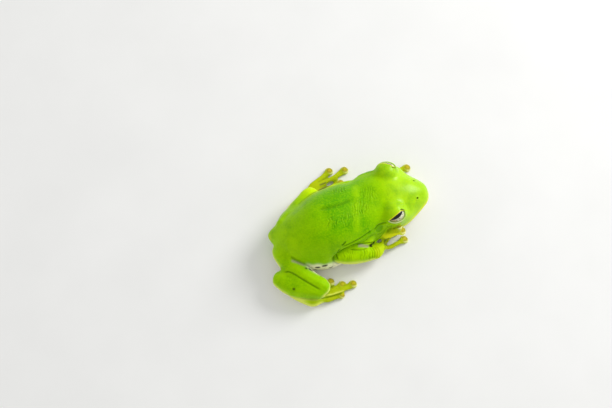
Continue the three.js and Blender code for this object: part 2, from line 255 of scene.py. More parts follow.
# For each point the name of the nearest node of those given, as its place in the list, and the distance
def nearestNode(points, names):
    tree, owners = treeOf(names)
    owner = np.empty(len(points), int)
    distance = np.empty(len(points))
    for i, point in enumerate(points):
        found = tree.find_nearest(point)
        owner[i] = owners[found[2]]
        distance[i] = found[3]
    return owner, distance


def distanceTo(names, points, near, reach):
    tree, owners = treeOf(names)
    distance = np.full(len(points), reach)
    for i in np.flatnonzero(near):
        found = tree.find_nearest(points[i], reach)
        if found[0] is not None:
            distance[i] = found[3]
    return distance


# Eyes: the way each one looks, and how far a point is from the edge of the opening between its lids

eyePlan = {
    "ahead": 32.0,  # degrees that an eye looks ahead of sideways
    "up": 30.0,
    "slit": (1.53, 0.57),  # mm out and up from the eye's middle to the line where the two lids meet
    "upperLid": 38.0,  # degrees from that line to the edge of each lid
    "lowerLid": 37.5,
    "blunt": (1.0, 0.75),  # mm ahead of the eye's middle where the opening starts to close, and how fast
    "droop": {"right": 0.0, "left": 7.0},  # degrees that the upper lid hangs lower
    "lined": {"right": 1.0, "left": 0.5},  # how strong the lines around each eye are: the painted shade at the lid edges and the front crease, and the pale lower rim
    "lid": 0.45,  # mm thick
    "tuck": 0.3,  # mm that the skin goes in behind the eyeball's surface
    "cornea": 0.1,  # mm that the front of the eyeball stands out
}


class EyeFrame:
    def __init__(self, side):
        ahead, up = math.radians(eyePlan["ahead"]), math.radians(eyePlan["up"])
        level = math.cos(ahead) * sides[side] * leftward + math.sin(ahead) * forward
        self.centre = eyeCentre[side]
        self.upperLid = math.radians(eyePlan["upperLid"] - eyePlan["droop"][side])
        self.aim = math.cos(up) * level + math.sin(up) * upward
        self.top = math.cos(up) * upward - math.sin(up) * level
        self.front = math.cos(ahead) * forward - math.sin(ahead) * sides[side] * leftward

    def along(self, points):
        offset = (points - self.centre) / mm
        return offset @ self.aim, offset @ self.front, offset @ self.top

    def fromLids(self, points):
        out, front, rise = self.along(points)
        out, rise = out - eyePlan["slit"][0], rise - eyePlan["slit"][1]
        start, speed = eyePlan["blunt"]
        closing = speed * np.clip(front - start, 0, 1.5) ** 2
        upper, lower = self.upperLid, math.radians(eyePlan["lowerLid"])
        above = math.cos(upper) * rise - math.sin(upper) * out + closing
        below = -math.cos(lower) * rise - math.sin(lower) * out + closing
        return above, below, (above + below + np.sqrt((above - below) ** 2 + 0.02)) / 2


eyeFrames = {side: EyeFrame(side) for side in sides}


# Skin: the flesh of the frame, rounded and joined into one surface

skinPlan = {
    "swell": 0.12,  # mm that each solid grows, to close the gaps between them
    "formVoxel": 0.25,  # mm
    "limbVoxel": 0.2,
    "voxel": 0.272,
    "bodyReach": 1.6,  # mm over which the facets are smoothed away
    "limbReach": 0.6,
    "digitReach": 0.28,
    "lastReach": 0.22,
    "eyeBlend": 0.9,  # mm over which an eye's bump runs out into the head
}


# Points near an eye are lifted to the round of its lids
def liftedOverEyes(points, blend):
    for eye in eyeFrames.values():
        offset = points - eye.centre
        away = np.linalg.norm(offset, axis=1)
        dome = eyeRadius + eyePlan["lid"] * mm
        lifted = (away + dome + np.sqrt((away - dome) ** 2 + (blend * mm) ** 2)) / 2
        lifted -= blend * mm * 0.5 * bell(away - dome, 1.2 * mm)
        near = away < dome + 4 * mm
        points = np.where(near[:, None], eye.centre + offset * (lifted / away)[:, None], points)
    return points


def torsoMesh():
    plan = skinPlan
    names = ["trunk", "head", "lower_jaw", "tympanum_left", "tympanum_right", "eye_left", "eye_right"]
    mesh = remeshed(joinedMesh(names, plan["swell"] * mm, "torso"), plan["formVoxel"] * mm)
    points = coordinates(mesh)
    links = neighboursOf(mesh)
    points = rounded(points, links, 1.0, roundsFor(plan["bodyReach"], plan["formVoxel"]))
    points = liftedOverEyes(points, plan["eyeBlend"])
    setCoordinates(mesh, relaxed(points, links, 1.0, 6))
    return mesh


def limbMesh(parts, side):
    plan = skinPlan
    names = [name for name in nodes if name.endswith("_" + side) and name.startswith(parts)]
    names.sort(key=lambda name: name in digitNames)
    firstDigit = sum(name not in digitNames for name in names)
    mesh = remeshed(joinedMesh(names, plan["swell"] * mm, "limb"), plan["limbVoxel"] * mm)
    points = coordinates(mesh)
    links = neighboursOf(mesh)
    isDigit = nearestNode(points, names)[0] >= firstDigit
    fine = (plan["digitReach"] / plan["limbReach"]) ** 2
    share = relaxed(np.where(isDigit, fine, 1.0), links, 1.0, 12)
    points = rounded(points, links, share, roundsFor(plan["limbReach"], plan["limbVoxel"]))
    setCoordinates(mesh, points)
    return mesh


def unionOf(forms):
    union = bmesh.new()
    for form in forms:
        union.from_mesh(form)
        bpy.data.meshes.remove(form)
    return meshFrom(union, "union")


armParts = ("upper_arm", "forearm", "hand", "finger")
legParts = ("thigh", "shank", "tarsus", "foot", "toe")
forms = [torsoMesh()]
print("torso rounded")
for side in sides:
    forms.append(limbMesh(armParts, side))
    forms.append(limbMesh(legParts, side))
print("limbs rounded")
skinMesh = remeshed(unionOf(forms), skinPlan["voxel"] * mm)
skinMesh.name = "skin"
links = neighboursOf(skinMesh)
points = relaxed(coordinates(skinMesh), links, 1.0, roundsFor(skinPlan["lastReach"], skinPlan["voxel"]))
setCoordinates(skinMesh, points)
print("skin joined:", len(points), "points")


# Lines on the skin: mouth, folds and wrinkles. Each route is laid on the surface through a few places.

def smoothRoute(places, step=0.12):
    places = np.array(places, float)
    padded = np.vstack([2 * places[0] - places[1], places, 2 * places[-1] - places[-2]])
    result = []
    for a, b, c, d in zip(padded[:-3], padded[1:-2], padded[2:-1], padded[3:]):
        count = max(2, int(np.linalg.norm(c - b) / (step * mm)))
        t = np.linspace(0, 1, count, endpoint=False)[:, None]
        curve = 2 * b + (c - a) * t + (2 * a - 5 * b + 4 * c - d) * t**2
        result.append((curve + (3 * b - a - 3 * c + d) * t**3) / 2)
    result.append(places[-1:])
    return np.vstack(result)


def surfaceTree(mesh):
    faces = [tuple(face.vertices) for face in mesh.polygons]
    return BVHTree.FromPolygons(coordinates(mesh).tolist(), faces)


def laidOn(tree, places):
    route = smoothRoute(places)
    return np.array([tree.find_nearest(place)[0] for place in route])


# Distance in mm from each point to a route, and the share of the route's length where it is nearest
def fromRoute(points, route, reach=2.0):
    distance = np.full(len(points), 99.0)
    share = np.zeros(len(points))
    low, high = route.min(0) - reach * mm, route.max(0) + reach * mm
    near = np.flatnonzero(((points > low) & (points < high)).all(1))
    for start in range(0, len(near), 4000):
        part = near[start:start + 4000]
        gaps = np.linalg.norm(points[part][:, None] - route[None], axis=2)
        nearest = gaps.argmin(1)
        distance[part] = gaps[np.arange(len(part)), nearest] / mm
        share[part] = nearest / (len(route) - 1)
    return distance, share


# Folds of the head and shoulder, on both sides: mm ahead of the eyes, outwards, and above the floor.
# A smooth curve runs through each fold's few places and is then laid on the skin.
# Each fold's last value is how strongly shade is painted along it
foldPlan = {
    "overEar": {"places": [(-2.5, 8.5, 8.5), (-3.5, 8.5, 8.5), (-5.0, 9.0, 9.0), (-6.5, 10.0, 8.5)],
                "width": 0.22, "depth": 0.2, "roll": 0.12, "creaseShade": 0.68},
    "shoulder": {"side": "right", "places": [(-6.5, 10.0, 9.0), (-11.0, 12.0, 9.5), (-16.0, 13.5, 10.0)],
                 "width": 0.26, "depth": 0.22, "roll": 0.16, "creaseShade": 0.6},
    "shoulderLeft": {"side": "left", "places": [(-6.5, 10.0, 9.0), (-9.0, 10.0, 8.0)],
                     "width": 0.28, "depth": 0.16, "roll": 0.12, "creaseShade": 0.32},
    "ear": {"places": [(-2.0, 9.0, 6.5), (-4.5, 10.0, 6.0), (-6.0, 10.5, 6.5)],
            "width": 0.2, "depth": 0.1, "roll": 0.03, "creaseShade": 0.38},
    "underEye": {"places": [(-3.0, 9.0, 7.0), (-1.5, 9.5, 6.5), (1.0, 9.5, 6.0)],
                 "width": 0.17, "depth": 0.1, "roll": 0.05, "creaseShade": 0.7},
    "cheek": {"places": [(-3.0, 9.5, 6.0), (-4.5, 10.5, 5.0), (-6.5, 11.5, 4.0)],
              "width": 0.22, "depth": 0.1, "roll": 0.04, "creaseShade": 0.6},
}
# Creases of the back and the right limbs, in the same measures
creasePlan = {
    "back": {"places": [(-20.5, 3.5, 14.5), (-15.5, 3.0, 14.0), (-11.0, 1.5, 12.5)],
             "width": 0.5, "depth": 0.13, "roll": 0.09, "creaseShade": 0.42},
    "shoulderRidge": {"places": [(-9.0, -2.5, 11.0), (-10.0, 4.0, 13.0), (-11.0, 10.0, 11.5)],
                      "width": 0.7, "depth": -0.06, "roll": 0.0, "creaseShade": 0.0},
    "toes": {"places": [(-24.5, 24.5, 2.5), (-21.0, 24.0, 1.5), (-18.0, 23.5, 1.0)],
             "width": 0.2, "depth": 0.16, "creaseShade": 0.85},
    "elbow": {"places": [(-16.5, 14.0, 10.0), (-18.0, 14.0, 7.5), (-17.5, 15.5, 5.5)],
              "width": 0.2, "depth": 0.12, "creaseShade": 0.9},
    "armTop": {"places": [(-13.0, 13.0, 9.0), (-11.0, 12.5, 7.0), (-8.5, 12.0, 6.0), (-7.0, 11.5, 4.5)],
               "width": 0.2, "depth": 0.08, "creaseShade": 0.9},
    "armUnder": {"places": [(-14.0, 13.5, 7.0), (-11.0, 14.0, 6.0), (-9.0, 13.5, 5.5)],
                 "width": 0.17, "depth": 0.1, "creaseShade": 0.75},
    "crack": {"places": [(-16.0, 13.5, 10.5), (-14.5, 12.5, 11.0)], "width": 0.2, "depth": 0.12, "creaseShade": 1.0},
    "calf": {"places": [(-33.0, 16.0, 5.5), (-31.0, 17.0, 7.0), (-27.0, 20.5, 6.5), (-23.5, 23.5, 6.0)],
             "width": 0.24, "depth": 0.2, "roll": 0.04, "creaseShade": 0.7},
}
wristPlan = {
    "first": [(-8.5, 13.5, 5.0), (-8.0, 15.0, 5.0), (-8.5, 16.5, 4.0)],
    "step": (0.62, -0.12, -0.27),  # mm from one wrinkle to the next
    "count": 4,
    "width": 0.15, "depth": 0.09, "creaseShade": 0.3,
}
# Where one part runs into the next without a groove: the places, the reach to each side in mm, and the rounds
softPlan = [
    ("right", [(-34.0, 8.5, 7.0), (-32.0, 12.0, 8.0)], 2.3, 160),
    ("left", [(-30.5, -4.5, 10.0), (-25.0, 1.5, 9.0), (-19.5, 5.5, 6.0)], 2.3, 160),
    ("right", creasePlan["calf"]["places"], 1.5, 90),
]
# Fine wrinkles: patches across which the skin is pleated, each with its reach along and across the body
pleatPlan = {
    "patches": [(-6.0, 0.0, 11.5, 2.5, 3.0), (-9.0, 4.0, 12.5, 2.5, 3.0), (-13.0, 7.5, 13.5, 2.5, 2.5),
                (-14.0, -2.5, 12.0, 3.0, 2.0), (-17.5, 7.5, 13.5, 2.0, 2.5)],
    "limbs": [(-9.5, 15.5, 5.5, 2.5, 2.0), (-14.5, 15.0, 6.5, 2.0, 1.5)],
    "spacing": 0.7, "depth": 0.065,  # mm
    "turn": -9.8,  # degrees that the pleats' crosswise line is turned from straight ahead
}
featurePlan = {
    "mouthDepth": 0.16, "mouthWidth": 0.13, "lipRoll": 0.09,  # mm
    "mouthCorner": -4.9,  # mm behind the eyes
    "nostril": (7.1, 2.6, 7.6), "nostrilTilt": 48.0, "nostrilWidth": 0.2, "nostrilDepth": 0.4,
    "ear": (-4.9, 8.6, 7.2), "earTilt": 35.0, "earRadius": 1.25, "earDepth": 0.12, "earRim": 0.02,
}


def headPlace(place, sign):
    ahead, out, height = place
    return inHead(ahead, sign * out, height)


def outwards(sign, tilt):
    angle = math.radians(tilt)
    return sign * math.cos(angle) * leftward + math.sin(angle) * upward


def fromAxis(points, place, direction):
    offset = points - place
    along = offset @ direction
    return np.linalg.norm(offset - along[:, None] * direction, axis=1) / mm, along / mm


# The middle of the pad at each digit's tip
def padOf(name):
    kind, _, side = name.split("_")
    root = middleOf(f"{'hand' if kind == 'finger' else 'foot'}_{side}")
    shape = coordinates(nodes[name].data)
    away = np.linalg.norm(shape - root, axis=1)
    tip = shape[away.argmax()]
    return shape[np.linalg.norm(shape - tip, axis=1) < 1.7 * mm].mean(0)


padMiddles = {name: padOf(name) for name in digitNames}


def refine(mesh, chosen):
    shape = bmesh.new()
    shape.from_mesh(mesh)
    edges = [edge for edge in shape.edges if chosen[edge.verts[0].index] and chosen[edge.verts[1].index]]
    bmesh.ops.subdivide_edges(shape, edges=edges, cuts=1, use_grid_fill=True)
    bmesh.ops.triangulate(shape, faces=[face for face in shape.faces if len(face.verts) > 4])
    shape.to_mesh(mesh)
    shape.free()
    points = coordinates(mesh)
    return points, neighboursOf(mesh)


def routesOn(tree):
    routes = []
    for side, sign in sides.items():
        for plan in foldPlan.values():
            if plan.get("side", side) == side:
                routes.append((laidOn(tree, [headPlace(place, sign) for place in plan["places"]]), plan))
    for plan in creasePlan.values():
        routes.append((laidOn(tree, [headPlace(place, -1) for place in plan["places"]]), plan))
    for number in range(wristPlan["count"]):
        shift = np.array(wristPlan["step"]) * number
        places = [headPlace(np.array(place) + shift, -1) for place in wristPlan["first"]]
        routes.append((laidOn(tree, places), wristPlan))
    return routes


# How far a point is into a patch of fine wrinkles
def pleatShare(points):
    share = np.zeros(len(points))
    for ahead, out, height, along, across in pleatPlan["patches"] + pleatPlan["limbs"]:
        offset = (points - inHead(ahead, -out, height)) / mm
        parts = (offset @ forward / along, offset @ leftward / across, offset[:, 2] / 3)
        reach = np.sqrt(sum(part**2 for part in parts))
        share = np.maximum(share, smoothStep(-reach, -1.3, -0.5))
    return share


def pleats(points):
    angle = math.radians(pleatPlan["turn"])
    line = (points @ (math.cos(angle) * forward + math.sin(angle) * leftward)) / mm
    share = pleatShare(points)
    height = np.zeros(len(points))
    for i in np.flatnonzero(share > 0):
        place = Vector(points[i]) * 1000
        sway = noise.noise(place * 0.55) * 1.5 + noise.noise(place * 1.6) * 0.35
        strength = 0.35 + 0.65 * abs(noise.noise(place * 0.8 + Vector((7, 3, 1)))) * 2.2
        turn = 2 * math.pi * (line[i] + 0.45 * sway) / pleatPlan["spacing"]
        height[i] = share[i] * strength * math.sin(turn)
    return height


def mouthOffset(points):
    ahead = (points - headMiddle) @ forward / mm
    near = (ahead > featurePlan["mouthCorner"] - 1.5) & (points[:, 2] > 2.2 * mm) & (points[:, 2] < 5.2 * mm)
    toHead = distanceTo(["head"], points, near, 3 * mm)
    toJaw = distanceTo(["lower_jaw"], points, near, 3 * mm)
    offset = np.where(near, (toHead - toJaw) / mm, 9.0)
    fade = smoothStep(ahead, featurePlan["mouthCorner"], featurePlan["mouthCorner"] + 1.2)
    fade *= smoothStep(points[:, 2] / mm, 2.5, 2.9)
    return offset, fade


# Hips and calf first: their grooves are filled and smoothed
tree = surfaceTree(skinMesh)
for _, places, reach, rounds in softPlan:
    route = laidOn(tree, [headPlace(place, -1) for place in places])
    soft = smoothStep(-fromRoute(points, route, 4.0)[0], -reach, -0.4 * reach)
    points = relaxed(points, links, soft, rounds)
setCoordinates(skinMesh, points)
tree = surfaceTree(skinMesh)
routes = routesOn(tree)
mouth, _ = mouthOffset(points)
chosen = np.abs(mouth) < 0.6
for route, plan in routes:
    chosen |= fromRoute(points, route, 1.0)[0] < 0.55
for side, sign in sides.items():
    eye = eyeFrames[side]
    away = np.linalg.norm(points - eye.centre, axis=1) / mm
    chosen |= away < eyeRadius / mm + 1.1
    place = headPlace(featurePlan["nostril"], sign)
    chosen |= np.linalg.norm(points - place, axis=1) < 1.2 * mm
    axis = outwards(sign, featurePlan["earTilt"])
    ring, along = fromAxis(points, headPlace(featurePlan["ear"], sign), axis)
    chosen |= (ring < featurePlan["earRadius"] + 0.5) & (np.abs(along) < 3)
chosen |= pleatShare(points) > 0.15
points, links = refine(skinMesh, chosen)
chosen = np.zeros(len(points), bool)
for side, sign in sides.items():
    above, below, gap = eyeFrames[side].fromLids(points)
    away = np.linalg.norm(points - eyeFrames[side].centre, axis=1) / mm
    chosen |= (np.abs(gap) < 0.45) & (away < eyeRadius / mm + 1.0) & (away > eyeRadius / mm - 1.0)
    place = headPlace(featurePlan["nostril"], sign)
    chosen |= np.linalg.norm(points - place, axis=1) < 0.75 * mm
points, links = refine(skinMesh, chosen)
points = relaxed(points, links, 1.0, 3)
print("skin refined:", len(points), "points")


# Sculpting. Each mark is kept point by point, for the colours.

marks = {name: np.zeros(len(points)) for name in (
    "creaseShade", "lip", "upperRimAndHighlight", "lowerRim", "digit", "pad", "padRim", "padRing", "pale", "fringe", "inkAndShade",
    "ear", "vent", "paintedLight", "mauve", "webShade", "yellowAndPaintedLight", "moist",
)}


def addMark(name, amount):
    marks[name] = np.maximum(marks[name], np.clip(amount, 0, 1))


def ownedBy(*parts):
    return np.array([name.startswith(parts) for name in fleshNames])[owner].astype(float)


# Which points are on a digit's pad, and in mm how far each is from its middle and how far beyond it
def inPad(name):
    middle = padMiddles[name]
    offset = (points - middle)[:, :2] / mm
    reach = np.linalg.norm(offset, axis=1)
    mine = (reach < 1.7) & (np.abs(points[:, 2] - middle[2]) < 1.2 * mm) & (ownerNames == name)
    return mine, reach, offset @ unit((middle - middleOf(name))[:2])


owner, _ = nearestNode(points, fleshNames)
ownerNames = np.array(fleshNames)[owner]
isDigit = relaxed(ownedBy("finger", "toe"), links, 1.0, 24)
setCoordinates(skinMesh, points)
normals = normalsOf(skinMesh)
steep = relaxed(normals[:, 2], links, 1.0, 30)  # how far each point faces up, fine folds left out
push = np.zeros(len(points))

mouth, fade = mouthOffset(points)
push += fade * (featurePlan["lipRoll"] * bell(mouth + 0.5, 0.34) + 0.03 * bell(mouth - 0.4, 0.25))
push -= fade * featurePlan["mouthDepth"] * bell(mouth, featurePlan["mouthWidth"])
# Painted shade along the mouth line
addMark("creaseShade", fade * bell(mouth, 0.12))
addMark("lip", fade * smoothStep(-mouth, 0.12, 0.35) * smoothStep(mouth, -1.7, -0.7))
wave = pleats(points)
push += pleatPlan["depth"] * wave
# Painted shade in the troughs of the fine wrinkles
addMark("creaseShade", 0.42 * smoothStep(-wave, 0.1, 0.9))

# The digits are slimmer than their pads
atPad = np.zeros(len(points))
for name in digitNames:
    mine, reach, _ = inPad(name)
    atPad = np.maximum(atPad, mine * smoothStep(-reach, -1.5, -1.0))
atPad = relaxed(atPad, links, 1.0, 6)
push += 0.22 * atPad - 0.17 * isDigit * (1 - atPad)

for route, plan in routes:
    distance, share = fromRoute(points, route)
    ends = smoothStep(share, 0, 0.12) * smoothStep(-share, -1, -0.88)
    width = plan["width"]
    roll = plan.get("roll", 0.3 * plan["depth"])
    push -= ends * plan["depth"] * bell(distance, width)
    push += ends * roll * bell(distance - 2.2 * width, 1.3 * width)
    # Painted shade along each fold, crease and wrist wrinkle
    addMark("creaseShade", ends * plan["creaseShade"] * bell(distance, width))

for sign in sides.values():
    axis = outwards(sign, featurePlan["earTilt"])
    ring, along = fromAxis(points, headPlace(featurePlan["ear"], sign), axis)
    near = (np.abs(along) < 3) & (normals @ axis > 0.1)
    radius = featurePlan["earRadius"]
    push += near * featurePlan["earRim"] * bell(ring - radius - 0.12, 0.16)
    push -= near * featurePlan["earDepth"] * smoothStep(-ring, -radius, -0.75 * radius)
    addMark("ear", near * smoothStep(-ring, -radius - 0.1, -0.7 * radius))
    axis = outwards(sign, featurePlan["nostrilTilt"])
    ring, along = fromAxis(points, headPlace(featurePlan["nostril"], sign), axis)
    near = np.abs(along) < 2
    push -= near * featurePlan["nostrilDepth"] * bell(ring, featurePlan["nostrilWidth"])
    push += near * 0.07 * bell(ring - 0.42, 0.17)
    # Painted shade in the nostril's opening
    addMark("inkAndShade", near * bell(ring, 1.15 * featurePlan["nostrilWidth"]) * 1.2)

points += normals * push[:, None] * mm


# The lids: a step down to behind the eyeball inside their edge, and a rolled rim outside it
def lidded(points, side):
    eye = eyeFrames[side]
    above, below, gap = eye.fromLids(points)
    offset = points - eye.centre
    away = np.linalg.norm(offset, axis=1) / mm
    out, front, rise = eye.along(points)
    radius, lid = eyeRadius / mm, eyePlan["lid"]
    isUpper = smoothStep(above - below, -0.5, 0.5)
    rim = (0.09 - 0.04 * isUpper) * bell(gap - 0.2, 0.2)
    edge = radius + lid - 0.06 + rim
    inner = radius - eyePlan["tuck"]
    beyondRim = edge + (away - edge) * smoothStep(gap, 0.15, 1.1 + 0.5 * isUpper)
    atFront = smoothStep(front, 0.8, 1.4) * smoothStep(rise, -1.4, -0.8) * smoothStep(-rise, -2.1, -1.6)
    crease = atFront * smoothStep(-away, -radius - 1.1, -radius - 0.7) * bell(gap - 0.46, 0.19)
    beyondRim -= 0.2 * crease
    wanted = inner + (beyondRim - inner) * smoothStep(gap, -0.09, 0.07)
    near = (away < radius + 2.4) & (away > radius - 2.2) & (gap < 1.6) & (out > -0.9)
    share = smoothStep(-away, -radius - 2.4, -radius - 1.1) * smoothStep(out, -0.9, 0.0)
    wanted = away + share * (wanted - away)
    points = np.where(near[:, None], eye.centre + offset * (wanted / away)[:, None], points)
    onDome = near & (gap > -0.2)
    # The upper lid's yellow rim, with a painted highlight along its lit edge
    addMark("upperRimAndHighlight", onDome * isUpper * bell(gap - 0.1, 0.18))
    lined = eyePlan["lined"][side]
    atRear = smoothStep(-front, -0.8, 0.8)
    addMark("lowerRim", onDome * (1 - isUpper) * bell(gap - 0.12, 0.17) * (0.35 + 0.65 * atRear) * lined)
    # Painted shade in the crease in front of the eye
    addMark("inkAndShade", onDome * crease * 1.5 * lined)
    # Painted shade at the lid edges, where the skin tucks in behind the eyeball, and beneath the lower lid's
    # pale rim
    addMark("creaseShade", near * bell(gap + 0.02, 0.07) * 0.8 * lined)
    addMark("creaseShade", near * (1 - isUpper) * bell(gap - 0.36, 0.12) * 0.8 * atRear * lined)
    return points


for side in sides:
    points = lidded(points, side)
lowest, highest = (np.array(corner) for corner in cadBox)
points = np.clip(points, lowest, highest)
setCoordinates(skinMesh, points)
print("skin sculpted")


# Markings

markPlan = {
    "creamEdge": [(-31.0, 7.5), (-26.0, 6.5), (-22.0, 6.0), (-18.5, 4.5), (-12.0, 3.5)],
    "thighEdge": [(-28.5, 7.0), (-26.0, 6.5), (-22.0, 5.0)],
    "spots": [  # black spots of the right side: mm ahead, out and up, then long, and half as wide
        (-26.5, 16.5, 7.0, 0.3, 0.26), (-25.5, 17.0, 6.0, 0.9, 0.44), (-23.5, 16.0, 4.5, 0.6, 0.42),
        (-21.5, 16.0, 5.0, 0.8, 0.38), (-24.5, 16.5, 3.0, 0.6, 0.3), (-20.0, 16.0, 3.0, 0.6, 0.3),
        (-31.0, 21.5, 6.0, 0.1, 0.3), (-8.0, 12.5, 5.0, 0.8, 0.36), (-8.0, 13.0, 5.0, 0.5, 0.28),
        (-7.0, 12.0, 4.5, 0.8, 0.3),
    ],
    "mauve": [  # violet-grey skin of the right side's folds, and half its width
        ([(-11.0, 13.0, 7.0), (-9.0, 13.0, 5.5)], 0.42),
        ([(-30.0, 14.0, 7.5), (-27.0, 15.5, 7.0)], 0.3),
    ],
    # Painted shade on the skin between the left foot's toes
    "shadedWebs": [([(-19.0, 7.5, 1.5), (-16.5, 8.5, 1.5)], 0.4), ([(-18.5, 9.0, 2.0), (-17.0, 9.5, 1.5)], 0.22)],
    # How yellow and light the green is, by the mm ahead of the eyes: the head yellower and lighter, partly as
    # painted light, and the rear painted lighter against the light falling off there
    "yellowAndPaintedLight": [(-30.0, 0.7), (-24.0, 0.4), (-18.0, 0.0), (-9.0, 0.05), (-4.0, 0.5), (0.0, 0.95)],
    "toeEdge": (0.5, -0.5, 0.3),  # mm from the toes' crease to the pale edge beside it: ahead, out and up
    "groin": (-25.5, 16.5, 6.0),
    "vent": (-35.5, 5.5, 6.0, 1.5),  # a place and a reach in mm
    "leftThigh": (-20.5, -7.0, 5.0, 5.0),  # painted light: the lit yellow part of the left leg
}
normals = normalsOf(skinMesh)
tree = surfaceTree(skinMesh)
ahead = (points - headMiddle) @ forward / mm
height = points[:, 2] / mm


def toPlace(place, sign):
    return np.linalg.norm(points - headPlace(place[:3], sign), axis=1) / mm


def addStroke(name, places, width, sign, strength=1.0):
    distance, _ = fromRoute(points, laidOn(tree, [headPlace(place, sign) for place in places]))
    addMark(name, strength * smoothStep(-distance, -width - 0.11, -width + 0.11))


# Open where nothing stands close in front of the skin
def openness(chosen, reach):
    free = np.zeros(len(points))
    for i in np.flatnonzero(chosen):
        way = Vector((normals[i][0], normals[i][1], 0.25)).normalized()
        hit = tree.ray_cast(Vector(points[i]) + way * 0.3 * mm, way, reach * mm)
        free[i] = hit[0] is None
    return free


isHand = relaxed(ownedBy("hand", "foot"), links, 1.0, 30)
isLimb = ownedBy("thigh", "shank", "tarsus", "foot", "forearm")
addMark("digit", isDigit + 0.45 * isHand + 0.12 * relaxed(ownedBy("tarsus"), links, 1.0, 20))
for name in digitNames:
    mine, reach, beyond = inPad(name)
    addMark("pad", mine * smoothStep(-reach, -0.9, -0.5))
    addMark("padRing", mine * bell(reach - 0.68, 0.15) * (steep > 0))
    addMark("padRim", mine * bell(reach - 1.02, 0.24) * smoothStep(beyond, -1.0, -0.3))
onHead = ownedBy("head", "tympanum")
limit = np.interp(ahead, [-31.0, -27.0], [2.6, 5.0])
low = np.maximum(1 - ownedBy("trunk", "upper_arm"), smoothStep(limit - height, 0, 2.0))
pale = low * smoothStep(-steep, 0.0, 0.3) * (1 - isDigit) * (1 - onHead)
for sign in sides.values():
    edge = np.interp(ahead, *zip(*markPlan["creamEdge"])) + 0.25 * np.sin(ahead * 2.1)
    along = smoothStep(-ahead, 12.0, 14.0) * smoothStep(ahead, -31.0, -28.5)
    flank = ownedBy("trunk") * along * smoothStep(edge - height, -0.12, 0.3) * smoothStep(-steep, -0.75, -0.5)
    pale = np.maximum(pale, flank)
    inward = sign * normals @ leftward * -1
    edge = np.interp(ahead, *zip(*markPlan["thighEdge"]))
    groinSide = ownedBy("thigh") * smoothStep(-toPlace(markPlan["groin"], sign), -3.4, -2.2)
    groinSide *= smoothStep(edge - height, -0.1, 0.25) * smoothStep(inward + normals @ forward, 0.2, 0.6)
    pale = np.maximum(pale, groinSide)
addMark("pale", relaxed(pale, links, 1.0, 10))
rimBand = (np.abs(steep) < 0.7) & (isLimb > 0.5)
free = relaxed(openness(rimBand, 3.0), links, 1.0, 3)
shankFront = ownedBy("shank") * smoothStep(ahead, -34.0, -32.0) * smoothStep(-ahead, 23.0, 24.5)
band = smoothStep(-steep + 0.22 * ownedBy("tarsus", "foot"), -0.45, -0.2) * smoothStep(steep, -0.4, -0.15)
addMark("fringe", relaxed(free * band * (1 - 0.45 * isDigit) * (1 - shankFront), links, 1.0, 3))
for atAhead, atSide, atHeight, length, width in markPlan["spots"]:
    ends = [(atAhead + end * length / 2, atSide, atHeight) for end in (-1, 1)]
    addStroke("inkAndShade", ends, width, -1)
for places, width in markPlan["mauve"]:
    addStroke("mauve", places, width, -1)
for places, width in markPlan["shadedWebs"]:
    addStroke("webShade", places, width, 1)
besideToes = [np.array(place) + markPlan["toeEdge"] for place in creasePlan["toes"]["places"]]
addStroke("fringe", besideToes, 0.15, -1)
addMark("vent", smoothStep(-toPlace(markPlan["vent"], -1), -markPlan["vent"][3], -0.9))
# Painted light on the left thigh, and on the hands, feet and tarsi where they lie in shade
addMark("paintedLight", bell(toPlace(markPlan["leftThigh"], -1), markPlan["leftThigh"][3]))
addMark("paintedLight", isHand * 0.6 + 0.5 * relaxed(ownedBy("tarsus"), links, 1.0, 12))
toRight = (headMiddle - points) @ leftward / mm
addMark("yellowAndPaintedLight", np.interp(ahead, *zip(*markPlan["yellowAndPaintedLight"])))
# Lighter and yellower towards the frog's right
addMark("yellowAndPaintedLight", 0.45 * smoothStep(toRight, 8.0, 14.0))
# Painted highlight: a band of light along the shoulder ridge
ridge = laidOn(tree, [headPlace(place, -1) for place in creasePlan["shoulderRidge"]["places"]])
addMark("yellowAndPaintedLight", 0.5 * bell(fromRoute(points, ridge, 4.0)[0], 1.3))
addMark("yellowAndPaintedLight", relaxed(ownedBy("forearm", "upper_arm") + 0.35 * ownedBy("thigh", "shank"), links, 1.0, 60))
addMark("moist", smoothStep(ahead, -3.0, 2.0) * onHead)
# Painted shade in the hollows, mixed with the deeper green of the creases
slack = relaxed(points, links, 1.0, 12)
hollow = ((slack - points) * normals).sum(1) / mm
addMark("creaseShade", 0.6 * smoothStep(hollow, 0.015, 0.09))
for name, values in marks.items():
    addValues(skinMesh, name, relaxed(values, links, 1.0, 1))
skinMesh.polygons.foreach_set("use_smooth", [True] * len(skinMesh.polygons))
print("markings placed")


# Materials

def newMaterial(name):
    material = bpy.data.materials.new(name)
    material.use_nodes = True
    tree = material.node_tree
    return material, tree, tree.nodes["Principled BSDF"]


# Sets a node's inputs, each to a value or from another node's output
def feed(tree, node, inputs):
    for key, value in inputs.items():
        if isinstance(value, bpy.types.NodeSocket):
            tree.links.new(value, node.inputs[key])
        else:
            node.inputs[key].default_value = value


def nodeOf(tree, kind, inputs=None, **settings):
    node = tree.nodes.new(kind)
    for key, value in settings.items():
        setattr(node, key, value)
    feed(tree, node, inputs or {})
    return node


def attributeOf(tree, name):
    return nodeOf(tree, "ShaderNodeAttribute", attribute_name=name).outputs["Fac"]


def noiseOf(tree, scale, detail=3.0, roughness=0.5):
    place = nodeOf(tree, "ShaderNodeTexCoord").outputs["Object"]
    inputs = {"Vector": place, "Scale": scale, "Detail": detail, "Roughness": roughness}
    return nodeOf(tree, "ShaderNodeTexNoise", inputs).outputs["Fac"]


def cellsOf(tree, scale):
    place = nodeOf(tree, "ShaderNodeTexCoord").outputs["Object"]
    return nodeOf(tree, "ShaderNodeTexVoronoi", {"Vector": place, "Scale": scale}).outputs["Distance"]


